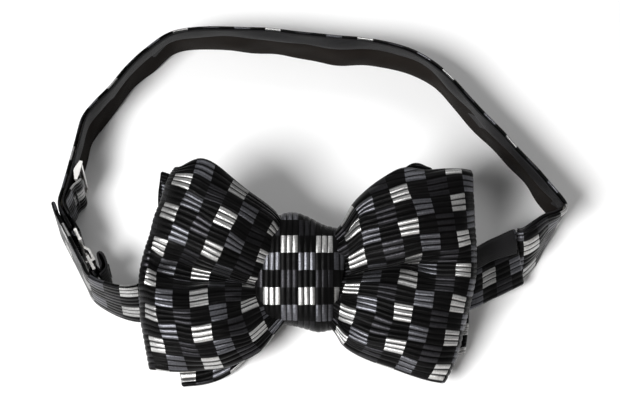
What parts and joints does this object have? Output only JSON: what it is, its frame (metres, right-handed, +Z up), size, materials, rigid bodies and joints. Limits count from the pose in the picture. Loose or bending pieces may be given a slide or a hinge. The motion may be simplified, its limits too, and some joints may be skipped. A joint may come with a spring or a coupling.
{
  "type": "bow tie",
  "caption": "Self-tied bow tie in ribbed check silk: folded loops and flat ends around a knot, on an adjustable neckband with slider, hook and eye, closed into a loop.",
  "frame": {"origin": "centre of the object's footprint, on the surface it stands on", "axes": "+X along the bow to the wearer's left, +Y from the bow to the back of the neckband, +Z up, from the lower to the upper edge of the neckband"},
  "size_m": [0.1777, 0.1421, 0.0452],
  "materials": {
    "check_silk": "lustrous ribbed silk with a small check of white, light grey, dark grey and black cells",
    "interlining": "matte brushed wool and cotton interlining",
    "lining": "matte dark twill lining",
    "thread": "close zigzag stitching in black thread",
    "nickel": "bright nickel plated wire and strip"
  },
  "bodies": {
    "bow_and_band": {"front_loop": "check_silk", "front_loop_interlining": "interlining", "front_end": "check_silk", "front_end_interlining": "interlining", "back_end": "check_silk", "back_end_interlining": "interlining", "back_loop": "check_silk", "back_loop_interlining": "interlining", "front_waist": "check_silk", "back_waist": "check_silk", "knot_wrap": "check_silk", "knot_interlining": "interlining", "neck_pass": "check_silk", "right_strap": "check_silk", "right_strap_interlining": "interlining", "band_shell": "check_silk", "band_interlining": "interlining", "band_lining": "lining", "return_strap": "check_silk", "strap_fold": "check_silk", "return_bar_tack": "thread"},
    "slider": {"slider_frame": "nickel", "slider_loop": "check_silk"},
    "hook": {"hook": "nickel"},
    "left_strap": {"left_strap": "check_silk", "left_strap_interlining": "interlining", "eye_tab": "check_silk", "eye_bar_tack": "thread"},
    "eye": {"eye_ring": "nickel"}
  },
  "joints": [
    {"name": "slider_slide", "type": "slide", "parent": "bow_and_band", "child": "slider", "axis": [0.1564, 0.9877, 0], "range_m": [0, 0.01]},
    {"name": "hook_swing", "type": "hinge", "parent": "bow_and_band", "child": "hook", "pos_m": [-0.07977, -0.01861, 0], "axis": [0, 0, 1], "range_deg": [0, 60]},
    {"name": "left_strap_swing", "type": "hinge", "parent": "bow_and_band", "child": "left_strap", "pos_m": [-0.0524, -0.0415, 0], "axis": [0, 0, 1], "range_deg": [0, 25]},
    {"name": "eye_swing", "type": "hinge", "parent": "left_strap", "child": "eye", "pos_m": [-0.07303, -0.03145, 0], "axis": [0, 0, 1], "range_deg": [0, 8]}
  ]
}
